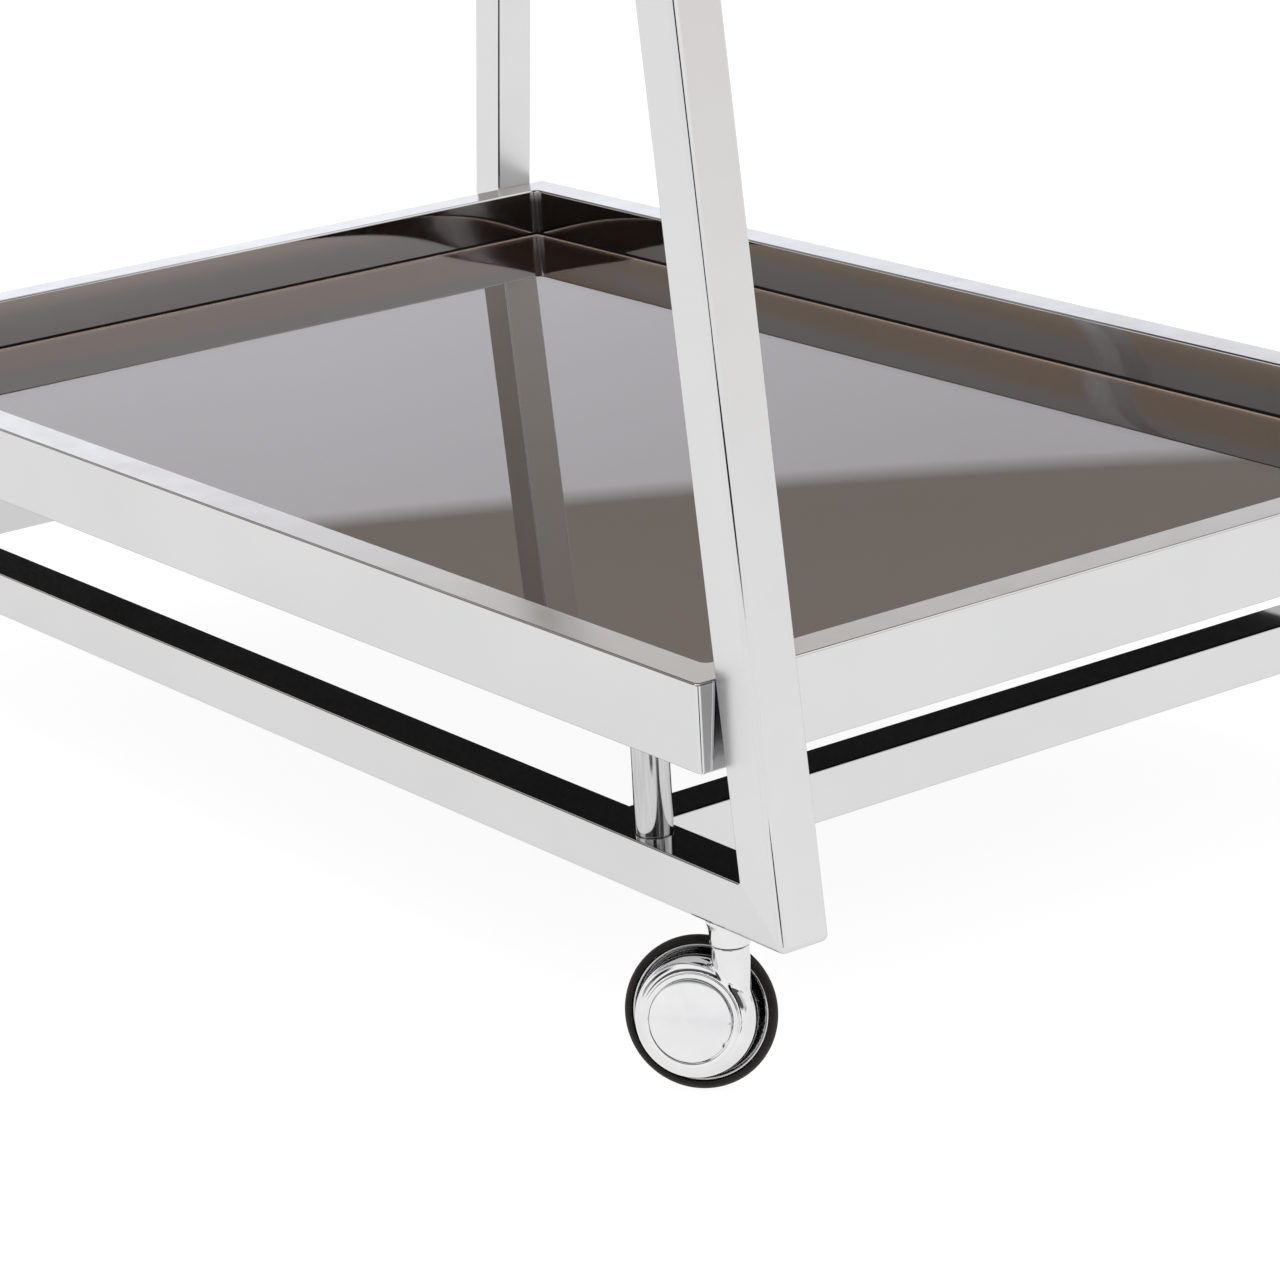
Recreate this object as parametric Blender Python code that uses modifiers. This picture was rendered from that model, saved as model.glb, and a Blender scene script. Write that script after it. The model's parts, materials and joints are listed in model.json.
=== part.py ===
"""Two-tier serving trolley: a polished steel frame with leaning legs, two glass trays, four swivel casters.

The trolley stands on z = 0 with the middle of its footprint at the origin. X runs along its long side,
the front faces -Y, and "right" is +X. All sizes are in metres.
"""
import math

import bmesh
import bpy
from mathutils import Matrix, Vector

# ---- driving dimensions ---------------------------------------------------------------------------
TUBE = 0.025                # frame tube, square
WALL = 0.0015               # wall of every tube
GAP = 0.0003                # clearance left between touching pieces

RIM_HEIGHT = 0.040          # tray rim tube
RIM_WIDTH = 0.020
LOWER_RIM_TOP = 0.194       # height of the lower tray's top edge
UPPER_RIM_TOP = 0.700       # height of the upper tray's top edge
TRAY_HALF_LENGTH = 0.4344   # lower tray, along X
TRAY_HALF_WIDTH = 0.2733    # both trays, along Y
GLASS_DROP = 0.028          # rim top down to the glass
GLASS_THICKNESS = 0.005
TRAY_CORNER = 0.0045        # corner radius of the glass and of the panel under it

LEG_LEAN = 0.110            # how far a leg leans inward for each unit of height
FRAME_SETBACK = 0.0092      # leg faces stand this far behind the trays' long faces
POST_LENGTH = 0.0479        # from a side rail up to the tray
POST_RADIUS = 0.0085
CROSS_RAIL_INSET = 0.0862   # from a leg's inner face to a cross rail's outer face, at rail height
POST_INSET = 0.0764         # from a leg's inner face to a post's axis, at rail height
HANDLE_TOP = 0.800

CASTER_X = 0.4195           # swivel axes
FRONT_HEADING = -49.5       # which way the axles of the front casters point, in degrees
AXLE_RISE = 11.4            # tilt of the axle above the horizontal, in degrees
AXLE_TRAIL = 0.0161         # swivel axis to axle
WHEEL_SETBACK = 0.008       # swivel axis to the wheel's middle plane, along the axle's heading
WHEEL_STEPS = 34            # sides of a tyre: a flat one meets the floor
TYRE_RADIUS = 0.034
TYRE_HALF_WIDTH = 0.00375
TYRE_FLANK = 0.8            # half width of the tyre at its seat, as a part of the full half width
TREAD_ARC = 62              # the tread is rounded this far to either side, in degrees
WHEEL_RADIUS = 0.0304
WHEEL_EDGE = 0.0009         # thickness of the wheel's lip
WHEEL_LIP = 0.0012          # front edge of the wheel, from its middle plane
WHEEL_DISH = 0.0105         # depth of the dish under the lip
WHEEL_BULGE = 0.0095        # how far the domed back stands out behind the tyre
HUB_RADIUS = 0.0065
HUB_TOP = 0.0020
HUB_FLOOR = -0.0105         # bottom of the hub's bore
HOOD_RADIUS = 0.0272
HOOD_FACE = 0.0212          # front face of the hood, from the wheel's middle plane
HOOD_FACE_RADIUS = 0.0210
HOOD_WALL = 0.0026
HOOD_ROOF = 0.0158          # inside of the hood's front
HOOD_RIM = -0.0002          # open edge of the hood
RIM_CHAMFER = 0.0006
CAVITY_END = -0.0040        # the cavity's cutter reaches out past the open edge to here
ROOF_CHAMFER = 0.0040       # slope between the cavity's roof and its wall
SHOULDER_RADIUS = 0.0213    # the drum's edge is rounded from here out to the full radius
SHOULDER_START = 0.0085     # and from here up, along the axle
SHOULDER_HEIGHT = 0.0118
BOSS_RADIUS = 0.0062        # boss that holds the axle inside the hood
BOSS_FOOT = 0.0035
CAP_RADIUS = 0.0182
CAP_SEAT = 0.0186           # floor of the cap's recess, from the wheel's middle plane
CAP_CROWN = 0.0007          # how far the middle of the cap stands proud of the hood
CAP_BEVEL = 0.0006
AXLE_RADIUS = 0.003
AXLE_TOP = 0.0168
AXLE_FOOT = -0.0100
SWEEP_GAP = 0.0012          # room between the hood and the turning tyre
STEM_RADIUS = 0.0055
STEM_REACH = 0.0190         # how far the stem reaches above the rail's underside
NECK_RADIUS = 0.0083
NECK_TOP = 0.0688           # height of the joint line between neck and socket
NECK_FOOT = 0.0040          # the neck starts this far above the wheel's centre, inside the drum
SOCKET_GAP = 0.0006         # open joint line under the socket
SOCKET_FLARE = 0.0105       # radius of the socket's collar where it meets the rail
SOCKET_BRIM = 0.0015        # height of the collar's widest part
SLEEVE_RADIUS = 0.008       # part of the socket inside the rail
SLEEVE_REACH = 0.0200

# ---- derived dimensions ---------------------------------------------------------------------------
LEAN = math.atan(LEG_LEAN)
FRAME_FACE = TRAY_HALF_WIDTH - FRAME_SETBACK
FRAME_Y = FRAME_FACE - TUBE / 2
RISE = math.radians(AXLE_RISE)
SIDES = {"front": -1, "back": 1}
ENDS = {"right": 1, "left": -1}
TIERS = {"lower": LOWER_RIM_TOP, "upper": UPPER_RIM_TOP}
BORE_STEPS = 18
TURN_STEPS = 26


def leg_inner(z):
    """Distance from the middle of the trolley to a leg's inner face at height z."""
    return TRAY_HALF_LENGTH - LEG_LEAN * (z - LOWER_RIM_TOP)


def leg_outer(z):
    return leg_inner(z) + TUBE / math.cos(LEAN)


def leg_axis(z):
    return (leg_inner(z) + leg_outer(z)) / 2


def rail_top(rim_top):
    return rim_top - RIM_HEIGHT - POST_LENGTH


# ---- scene, collections and materials -------------------------------------------------------------
def clear_scene():
    for old in list(bpy.data.objects):
        bpy.data.objects.remove(old, do_unlink=True)


def new_collection(name):
    collection = bpy.data.collections.new(name)
    bpy.context.scene.collection.children.link(collection)
    return collection


def new_material(name, colour, metallic, roughness):
    material = bpy.data.materials.new(name)
    material.use_nodes = True
    shader = material.node_tree.nodes["Principled BSDF"]
    shader.inputs["Base Color"].default_value = (*colour, 1.0)
    shader.inputs["Metallic"].default_value = metallic
    shader.inputs["Roughness"].default_value = roughness
    return material


FINISHES = {
    "polished_steel": ((0.80, 0.80, 0.81), 1.0, 0.06),
    "smoked_glass": ((0.07, 0.06, 0.06), 0.0, 0.03),
    "black_panel": ((0.012, 0.012, 0.013), 0.0, 0.35),
    "chrome": ((0.78, 0.78, 0.80), 1.0, 0.05),
    "axle_steel": ((0.55, 0.55, 0.57), 1.0, 0.30),
    "tyre_rubber": ((0.012, 0.012, 0.012), 0.0, 0.55),
}


def add_object(name, mesh, finish, parent=None, matrix=None):
    """One sub-part: its own object with its own material, in the trolley's collection."""
    part = bpy.data.objects.new(name, mesh)
    part.parent = parent
    part.matrix_local = matrix if matrix is not None else Matrix.Identity(4)
    trolley.objects.link(part)
    part.data.materials.append(new_material(name + "_" + finish, *FINISHES[finish]))
    return part


def add_cutter(name, mesh, parent=None, matrix=None):
    cutter = bpy.data.objects.new(name, mesh)
    cutter.parent = parent
    cutter.matrix_local = matrix if matrix is not None else Matrix.Identity(4)
    cutter.hide_render = True
    cutter.display_type = "WIRE"
    cutters.objects.link(cutter)
    return cutter


def add_empty(name, parent, matrix):
    empty = bpy.data.objects.new(name, None)
    empty.parent = parent
    empty.matrix_local = matrix
    empty.empty_display_size = 0.02
    trolley.objects.link(empty)
    return empty


def boolean(part, cutter, operation="DIFFERENCE"):
    modifier = part.modifiers.new(cutter.name, "BOOLEAN")
    modifier.operation = operation
    modifier.solver = "EXACT"
    modifier.object = cutter


# ---- shapes ---------------------------------------------------------------------------------------
def bmesh_to_mesh(bm, name):
    mesh = bpy.data.meshes.new(name)
    bm.to_mesh(mesh)
    bm.free()
    return mesh


def open_sleeve(bm, frame, length, width, height, inward):
    """Four long faces of a square prism, without its ends."""
    made = bmesh.ops.create_cube(bm, size=1.0)["verts"]
    ends = [f for f in {f for v in made for f in v.link_faces} if abs(f.normal.x) > 0.5]
    bmesh.ops.delete(bm, geom=ends, context="FACES_ONLY")
    bmesh.ops.transform(bm, matrix=frame @ Matrix.Diagonal((length, width, height, 1.0)), verts=made)
    if inward:
        bmesh.ops.reverse_faces(bm, faces=list({f for v in made for f in v.link_faces}))


def bar_frame(middle, along, up):
    """Matrix with X along a bar and Z towards its upper face."""
    x = along.normalized()
    y = up.cross(x).normalized()
    z = x.cross(y)
    frame = Matrix((x, y, z)).transposed().to_4x4()
    frame.translation = middle
    return frame


def hollow_bar(name, middle, along, up, length, width, height, trims):
    """A rectangular tube, cut off by two planes (point, normal pointing off the bar)."""
    frame = bar_frame(Vector(middle), Vector(along), Vector(up))
    bm = bmesh.new()
    open_sleeve(bm, frame, length, width, height, inward=False)
    open_sleeve(bm, frame, length, width - 2 * WALL, height - 2 * WALL, inward=True)
    for point, normal in trims:
        normal = Vector(normal).normalized()
        cut = bmesh.ops.bisect_plane(
            bm, geom=bm.verts[:] + bm.edges[:] + bm.faces[:], plane_co=Vector(point) - normal * GAP / 2,
            plane_no=normal, clear_outer=True)
        edges = [g for g in cut["geom_cut"] if isinstance(g, bmesh.types.BMEdge)]
        bmesh.ops.bridge_loops(bm, edges=edges)
    bmesh.ops.recalc_face_normals(bm, faces=bm.faces)
    return bmesh_to_mesh(bm, name)


def rounded_plate(name, half_length, half_width, bottom, top):
    """A flat plate with rounded corners, centred on the Z axis."""
    bm = bmesh.new()
    bmesh.ops.create_cube(bm, size=1.0)
    size = Matrix.Diagonal((2 * half_length, 2 * half_width, top - bottom, 1.0))
    bmesh.ops.transform(bm, matrix=Matrix.Translation((0, 0, (top + bottom) / 2)) @ size, verts=bm.verts)
    corners = [e for e in bm.edges if abs(e.verts[0].co.z - e.verts[1].co.z) > (top - bottom) / 2]
    bmesh.ops.bevel(bm, geom=corners, offset=TRAY_CORNER, segments=3, profile=0.5, affect="EDGES")
    return bmesh_to_mesh(bm, name)


def cylinder(name, radius, bottom, top, steps):
    bm = bmesh.new()
    bmesh.ops.create_cone(bm, cap_ends=True, segments=steps, radius1=radius, radius2=radius,
                          depth=top - bottom)
    bmesh.ops.translate(bm, vec=(0, 0, (top + bottom) / 2), verts=bm.verts)
    return bmesh_to_mesh(bm, name)


def arc(centre_r, centre_z, radius_r, radius_z, start, end, steps):
    """Points (r, z) on an elliptical arc, angles in degrees from the +r direction."""
    angles = [math.radians(start + (end - start) * i / steps) for i in range(steps + 1)]
    return [(centre_r + radius_r * math.cos(a), centre_z + radius_z * math.sin(a)) for a in angles]


def profile_mesh(name, points, closed):
    """A profile in the XZ plane, for a Screw modifier: the outer side runs from top to bottom."""
    bm = bmesh.new()
    verts = [bm.verts.new((r, 0.0, z)) for r, z in points]
    for a, b in zip(verts, verts[1:]):
        bm.edges.new((a, b))
    if closed:
        bm.edges.new((verts[-1], verts[0]))
    return bmesh_to_mesh(bm, name)


def turn(part, steps):
    """Turn a profile about the object's own Z axis."""
    screw = part.modifiers.new("turn", "SCREW")
    screw.axis = "Z"
    screw.angle = math.tau
    screw.steps = steps
    screw.render_steps = steps
    screw.use_merge_vertices = True
    screw.merge_threshold = 0.00002
    screw.use_smooth_shade = True
    return part


# ---- frame ----------------------------------------------------------------------------------------
def mitre_foot(end):
    """Plane of the joint between a leg and its lower side rail: a point, and the normal off the leg."""
    bottom = rail_top(LOWER_RIM_TOP) - TUBE
    top = bottom + TUBE
    outer = Vector((end * leg_outer(bottom), 0.0, bottom))
    inner = Vector((end * leg_inner(top), 0.0, top))
    across = inner - outer
    normal = Vector((-end * abs(across.z), 0.0, -abs(across.x)))
    return outer, normal


def leg_direction(end):
    return Vector((-end * LEG_LEAN, 0.0, 1.0)).normalized()


def leg_face_normal(end):
    """Normal of a leg's inner face, pointing away from the middle of the trolley."""
    return Vector((end, 0.0, LEG_LEAN)).normalized()


def handle_axis(end):
    """Middle of a handle bar, whose section leans with the legs."""
    z = HANDLE_TOP - TUBE / 2 * (math.cos(LEAN) + math.sin(LEAN))
    return Vector((end * leg_axis(z), 0.0, z))


def make_legs():
    for side_name, side in SIDES.items():
        for end_name, end in ENDS.items():
            name = "leg_{}_{}".format(side_name, end_name)
            along = leg_direction(end)
            corner = handle_axis(end) + Vector((0, side * FRAME_Y, 0))
            off_handle = along + Vector((0, -side, 0))
            middle = Vector((end * leg_axis(HANDLE_TOP / 2), side * FRAME_Y, HANDLE_TOP / 2))
            trims = [mitre_foot(end), (corner, off_handle)]
            mesh = hollow_bar(name, middle, along, (0, side, 0), 2 * HANDLE_TOP, TUBE, TUBE, trims)
            add_object(name, mesh, "polished_steel")


def make_handles():
    for end_name, end in ENDS.items():
        name = "handle_" + end_name
        along = leg_direction(end)
        trims = [(handle_axis(end) + Vector((0, side * FRAME_Y, 0)), Vector((0, side, 0)) - along)
                 for side in SIDES.values()]
        mesh = hollow_bar(name, handle_axis(end), (0, 1, 0), along, 1.0, TUBE, TUBE, trims)
        add_object(name, mesh, "polished_steel")


def side_rail_trims(tier, z):
    """Ends of a side rail: mitred into the legs at the bottom, butting against them higher up."""
    trims = []
    for end in ENDS.values():
        if tier == "lower":
            point, normal = mitre_foot(end)
            trims.append((point, -normal))
        else:
            trims.append((Vector((end * (leg_inner(z) - GAP / 2), 0, z)), leg_face_normal(end)))
    return trims


def make_side_rails():
    for tier, rim_top in TIERS.items():
        z = rail_top(rim_top) - TUBE / 2
        for side_name, side in SIDES.items():
            name = "{}_side_rail_{}".format(tier, side_name)
            mesh = hollow_bar(name, (0, side * FRAME_Y, z), (1, 0, 0), (0, 0, 1), 2.0, TUBE, TUBE,
                              side_rail_trims(tier, z))
            rail = add_object(name, mesh, "polished_steel")
            if tier == "lower":
                drill_rail(rail, side, z)


def drill_rail(rail, side, z):
    """Holes for the caster sockets in the underside of a lower side rail."""
    for end_name, end in ENDS.items():
        name = "hole_{}_{}".format(rail.name, end_name)
        mesh = cylinder(name, SLEEVE_RADIUS + GAP, z - TUBE, z, BORE_STEPS)
        place = Matrix.Translation((end * CASTER_X, side * FRAME_Y, 0))
        boolean(rail, add_cutter(name, mesh, matrix=place))


def make_cross_rails():
    for tier, rim_top in TIERS.items():
        z = rail_top(rim_top) - TUBE / 2
        for end_name, end in ENDS.items():
            name = "{}_cross_rail_{}".format(tier, end_name)
            x = end * (leg_inner(z) - CROSS_RAIL_INSET - TUBE / 2)
            trims = [(Vector((0, side * (FRAME_FACE - TUBE - GAP / 2), 0)), Vector((0, side, 0)))
                     for side in SIDES.values()]
            mesh = hollow_bar(name, (x, 0, z), (0, 1, 0), (0, 0, 1), 1.0, TUBE, TUBE, trims)
            add_object(name, mesh, "polished_steel")


def make_posts():
    """Round spacers that carry each tray above its rails, four to a tray."""
    for tier, rim_top in TIERS.items():
        top = rim_top - RIM_HEIGHT
        x = leg_inner(rail_top(rim_top) - TUBE / 2) - POST_INSET
        for side_name, side in SIDES.items():
            for end_name, end in ENDS.items():
                name = "{}_post_{}_{}".format(tier, side_name, end_name)
                mesh = cylinder(name, POST_RADIUS, top - POST_LENGTH + GAP, top - GAP, BORE_STEPS)
                add_object(name, mesh, "polished_steel",
                           matrix=Matrix.Translation((end * x, side * FRAME_Y, 0)))


# ---- trays ----------------------------------------------------------------------------------------
def tray_half_length(rim_top):
    """A tray reaches as far as the inner faces of the legs at its top edge."""
    return leg_inner(rim_top) - GAP


def make_rims(tier, rim_top):
    """Four mitred lengths of rectangular tube round the edge of a tray."""
    half_length = tray_half_length(rim_top)
    z = rim_top - RIM_HEIGHT / 2
    for name, side in SIDES.items():
        middle = (0, side * (TRAY_HALF_WIDTH - RIM_WIDTH / 2), z)
        trims = [((end * half_length, side * TRAY_HALF_WIDTH, z), (end, -side, 0)) for end in ENDS.values()]
        node = "{}_rim_{}".format(tier, name)
        mesh = hollow_bar(node, middle, (1, 0, 0), (0, 0, 1), 2.0, RIM_WIDTH, RIM_HEIGHT, trims)
        add_object(node, mesh, "polished_steel")
    for name, end in ENDS.items():
        middle = (end * (half_length - RIM_WIDTH / 2), 0, z)
        trims = [((end * half_length, side * TRAY_HALF_WIDTH, z), (-end, side, 0)) for side in SIDES.values()]
        node = "{}_rim_{}".format(tier, name)
        mesh = hollow_bar(node, middle, (0, 1, 0), (0, 0, 1), 2.0, RIM_WIDTH, RIM_HEIGHT, trims)
        add_object(node, mesh, "polished_steel")


def make_tray_floor(tier, rim_top):
    """The glass shelf, and the panel under it that closes the tray flush with its rim."""
    half_length = tray_half_length(rim_top) - RIM_WIDTH - GAP
    half_width = TRAY_HALF_WIDTH - RIM_WIDTH - GAP
    glass_top = rim_top - GLASS_DROP
    glass_bottom = glass_top - GLASS_THICKNESS
    panel = rounded_plate(tier + "_base_panel", half_length, half_width, rim_top - RIM_HEIGHT,
                          glass_bottom - GAP)
    add_object(tier + "_base_panel", panel, "black_panel")
    glass = rounded_plate(tier + "_glass", half_length, half_width, glass_bottom, glass_top)
    add_object(tier + "_glass", glass, "smoked_glass")


# ---- casters --------------------------------------------------------------------------------------
def tyre_profile():
    """Narrow rubber ring with a rounded tread, as radius and distance along the axle."""
    seat = WHEEL_RADIUS + GAP / 2
    nose = TYRE_RADIUS - seat
    tread = arc(seat, 0, nose, TYRE_HALF_WIDTH, TREAD_ARC, -TREAD_ARC, 5)
    flank = TYRE_HALF_WIDTH * TYRE_FLANK
    return [(seat, flank)] + tread + [(seat, -flank)]


def wheel_profile():
    """A dished wheel, hollow towards the hood, with a hub that is bored from that side."""
    seat = WHEEL_RADIUS - GAP / 2
    back = arc(0, -TYRE_HALF_WIDTH, seat, WHEEL_BULGE, 0, -90, 4)
    bore = AXLE_RADIUS + GAP
    hub = [(0, HUB_FLOOR), (bore, HUB_FLOOR), (bore, HUB_TOP), (HUB_RADIUS, HUB_TOP)]
    dish = arc(HUB_RADIUS, WHEEL_LIP, seat - WHEEL_EDGE - HUB_RADIUS, WHEEL_DISH, -90, 0, 4)
    return hub + dish + [(seat, WHEEL_LIP)] + back


def hood_profile():
    """Outside of the hood: a drum with a rounded shoulder."""
    width = HOOD_RADIUS - SHOULDER_RADIUS
    shoulder = arc(SHOULDER_RADIUS, SHOULDER_START, width, SHOULDER_HEIGHT, 90, 0, 5)
    skirt = [(HOOD_RADIUS, HOOD_RIM + RIM_CHAMFER), (HOOD_RADIUS - RIM_CHAMFER, HOOD_RIM), (0, HOOD_RIM)]
    return [(0, HOOD_FACE), (HOOD_FACE_RADIUS, HOOD_FACE)] + shoulder + skirt


def cavity_profile():
    """Inside of the hood, open towards the wheel, round a boss that holds the axle."""
    wall = HOOD_RADIUS - HOOD_WALL
    boss = [(0, BOSS_FOOT), (BOSS_RADIUS, BOSS_FOOT)]
    roof = [(BOSS_RADIUS, HOOD_ROOF), (wall - ROOF_CHAMFER, HOOD_ROOF), (wall, HOOD_ROOF - ROOF_CHAMFER)]
    return boss + roof + [(wall, CAVITY_END), (0, CAVITY_END)]


def cap_profile():
    """The crowned cover, with a bevelled edge a little below its crown."""
    crown = [(0, HOOD_FACE + CAP_CROWN), (CAP_RADIUS * 0.66, HOOD_FACE + CAP_CROWN * 0.7)]
    edge = [(CAP_RADIUS - CAP_BEVEL, HOOD_FACE), (CAP_RADIUS, HOOD_FACE - CAP_BEVEL)]
    return crown + edge + [(CAP_RADIUS, CAP_SEAT + GAP), (0, CAP_SEAT + GAP)]


def socket_profile(rail_bottom):
    """The collar below the rail and the sleeve inside it, bored for the stem."""
    bore = STEM_RADIUS + GAP
    top = rail_bottom + SLEEVE_REACH
    foot = NECK_TOP + SOCKET_GAP
    return [(SLEEVE_RADIUS, top), (SLEEVE_RADIUS, rail_bottom - GAP), (SOCKET_FLARE, rail_bottom - GAP),
            (SOCKET_FLARE, rail_bottom - SOCKET_BRIM), (NECK_RADIUS, foot), (bore, foot), (bore, top)]


def axle_height():
    """Height of the wheel's centre that puts the tread's lowest facet on the floor."""
    flat = math.cos(math.pi / WHEEL_STEPS)
    return max(r * flat * math.cos(RISE) - a * math.sin(RISE) for r, a in tyre_profile())


def axle_frame():
    """The axle's frame in the swivel's: Z along the axle towards the hood, Y up the wheel's plane."""
    z = Vector((math.cos(RISE), 0, math.sin(RISE)))
    y = Vector((-math.sin(RISE), 0, math.cos(RISE)))
    x = y.cross(z)
    frame = Matrix((x, y, z)).transposed().to_4x4()
    frame.translation = Vector((-WHEEL_SETBACK, -AXLE_TRAIL, axle_height()))
    return frame


def make_hood(place, swivel, meshes):
    """Drum, neck and stem in one casting, hollow inside and clear of the wheel."""
    hood = add_object("hood_" + place, meshes["hood"].copy(), "chrome", swivel, axle_frame())
    turn(hood, TURN_STEPS)
    neck = turn(add_cutter("neck_" + place, meshes["neck"], swivel), BORE_STEPS)
    cavity = turn(add_cutter("cavity_" + place, meshes["cavity"], swivel, axle_frame()), TURN_STEPS)
    sweep = add_cutter("wheel_sweep_" + place, meshes["sweep"], swivel, axle_frame())
    axle_hole = add_cutter("axle_hole_" + place, meshes["axle_hole"], swivel, axle_frame())
    recess = add_cutter("cap_recess_" + place, meshes["cap_recess"], swivel, axle_frame())
    boolean(neck, sweep)
    boolean(hood, neck, "UNION")
    for cutter in (cavity, axle_hole, recess):
        boolean(hood, cutter)


def neck_profile(rail_bottom):
    """The neck under the joint line, and the stem that turns inside the socket."""
    top = rail_bottom + STEM_REACH
    foot = axle_height() + NECK_FOOT
    stem = [(0, top), (STEM_RADIUS, top), (STEM_RADIUS, NECK_TOP)]
    return stem + [(NECK_RADIUS, NECK_TOP), (NECK_RADIUS, foot), (0, foot)]


def caster_meshes(rail_bottom):
    """Meshes and profiles that all four casters share."""
    tread_side = TYRE_HALF_WIDTH + 0.8 * SWEEP_GAP
    return {
        "hood": profile_mesh("hood", hood_profile(), False),
        "cavity": profile_mesh("cavity", cavity_profile(), False),
        "neck": profile_mesh("neck", neck_profile(rail_bottom), False),
        "sweep": cylinder("sweep", TYRE_RADIUS + SWEEP_GAP, -HOOD_FACE, tread_side, WHEEL_STEPS),
        "axle_hole": cylinder("axle_hole", AXLE_RADIUS + GAP, AXLE_FOOT, AXLE_TOP + GAP, BORE_STEPS),
        "cap_recess": cylinder("cap_recess", CAP_RADIUS + GAP, CAP_SEAT, 2 * HOOD_FACE, TURN_STEPS),
        "axle": cylinder("axle", AXLE_RADIUS, AXLE_FOOT, AXLE_TOP, BORE_STEPS),
        "cap": profile_mesh("cap", cap_profile(), False),
        "wheel": profile_mesh("wheel", wheel_profile(), False),
        "tyre": profile_mesh("tyre", tyre_profile(), True),
        "socket": profile_mesh("socket", socket_profile(rail_bottom), True),
    }


def make_caster(place, x, y, heading, meshes):
    """One swivel caster: the socket stays with the rail, the wheel turns on the inclined axle."""
    stand = Matrix.Translation((x, y, 0))
    turn(add_object("socket_" + place, meshes["socket"].copy(), "chrome", matrix=stand), BORE_STEPS)
    swivel = add_empty("swivel_" + place, None, stand @ Matrix.Rotation(math.radians(heading), 4, "Z"))
    make_hood(place, swivel, meshes)
    add_object("axle_" + place, meshes["axle"].copy(), "axle_steel", swivel, axle_frame())
    turn(add_object("cap_" + place, meshes["cap"].copy(), "chrome", swivel, axle_frame()), TURN_STEPS)
    spin = add_empty("spin_" + place, swivel, axle_frame())
    turn(add_object("wheel_" + place, meshes["wheel"].copy(), "chrome", spin), TURN_STEPS)
    turn(add_object("tyre_" + place, meshes["tyre"].copy(), "tyre_rubber", spin), WHEEL_STEPS)


def make_casters():
    """The back casters are turned half round from the front ones."""
    meshes = caster_meshes(rail_top(LOWER_RIM_TOP) - TUBE)
    for side_name, side in SIDES.items():
        heading = FRONT_HEADING if side < 0 else FRONT_HEADING + 180
        for end_name, end in ENDS.items():
            make_caster("{}_{}".format(side_name, end_name), end * CASTER_X, side * FRAME_Y, heading, meshes)


clear_scene()
trolley = new_collection("spa_trolley_cart")
cutters = new_collection("cutters")
make_legs()
make_handles()
make_side_rails()
make_cross_rails()
make_posts()
for tier_name, top_edge in TIERS.items():
    make_rims(tier_name, top_edge)
    make_tray_floor(tier_name, top_edge)
make_casters()
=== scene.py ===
import json
import math

import bmesh
import bpy
import numpy as np
from mathutils import Matrix, Vector


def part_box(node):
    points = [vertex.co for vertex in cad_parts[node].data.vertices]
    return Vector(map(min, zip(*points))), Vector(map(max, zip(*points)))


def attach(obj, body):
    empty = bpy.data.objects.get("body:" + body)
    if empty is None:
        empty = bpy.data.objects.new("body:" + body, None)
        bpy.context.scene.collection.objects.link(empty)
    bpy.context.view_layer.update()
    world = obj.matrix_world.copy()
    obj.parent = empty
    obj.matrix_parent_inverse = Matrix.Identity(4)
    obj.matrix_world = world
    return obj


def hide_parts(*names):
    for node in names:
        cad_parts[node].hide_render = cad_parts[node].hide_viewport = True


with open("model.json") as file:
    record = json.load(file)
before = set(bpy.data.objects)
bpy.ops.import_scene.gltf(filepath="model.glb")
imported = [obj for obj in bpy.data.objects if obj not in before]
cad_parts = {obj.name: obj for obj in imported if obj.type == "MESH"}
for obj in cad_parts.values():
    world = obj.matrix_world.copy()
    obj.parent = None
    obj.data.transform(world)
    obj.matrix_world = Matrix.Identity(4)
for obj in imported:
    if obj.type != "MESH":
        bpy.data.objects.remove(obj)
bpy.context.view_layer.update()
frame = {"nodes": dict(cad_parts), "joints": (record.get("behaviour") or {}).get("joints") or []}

# The polished two-tier trolley. Sizes are in metres unless a comment says millimetres. Z is up, X runs along
# the long side, the front faces -Y and the floor is at z = 0.

MM = 0.001
SIDES = {"front": -1, "back": 1}
ENDS = {"right": 1, "left": -1}
TIERS = ("lower", "upper")
PLACES = [side + "_" + end for side in SIDES for end in ENDS]

# ---- sizes read from the frame --------------------------------------------------------------------
RAIL_LOW, RAIL_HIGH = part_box("lower_side_rail_front")
TUBE = RAIL_HIGH.z - RAIL_LOW.z
RAIL_Y = abs(RAIL_LOW.y + RAIL_HIGH.y) / 2
RIM_TOP = {tier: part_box(tier + "_rim_front")[1].z for tier in TIERS}
RIM_BOTTOM = {tier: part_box(tier + "_rim_front")[0].z for tier in TIERS}
TRAY_X = {tier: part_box(tier + "_rim_right")[1].x for tier in TIERS}
TRAY_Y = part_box("lower_rim_back")[1].y
RIM_WIDTH = TRAY_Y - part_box("lower_rim_back")[0].y
GLASS_TOP = {tier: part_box(tier + "_glass")[1].z for tier in TIERS}
GLASS_BOTTOM = {tier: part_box(tier + "_glass")[0].z for tier in TIERS}
LEAN = (TRAY_X["lower"] - TRAY_X["upper"]) / (RIM_TOP["upper"] - RIM_TOP["lower"])
TOUCH = 0.3 * MM            # clearance left between touching pieces

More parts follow.
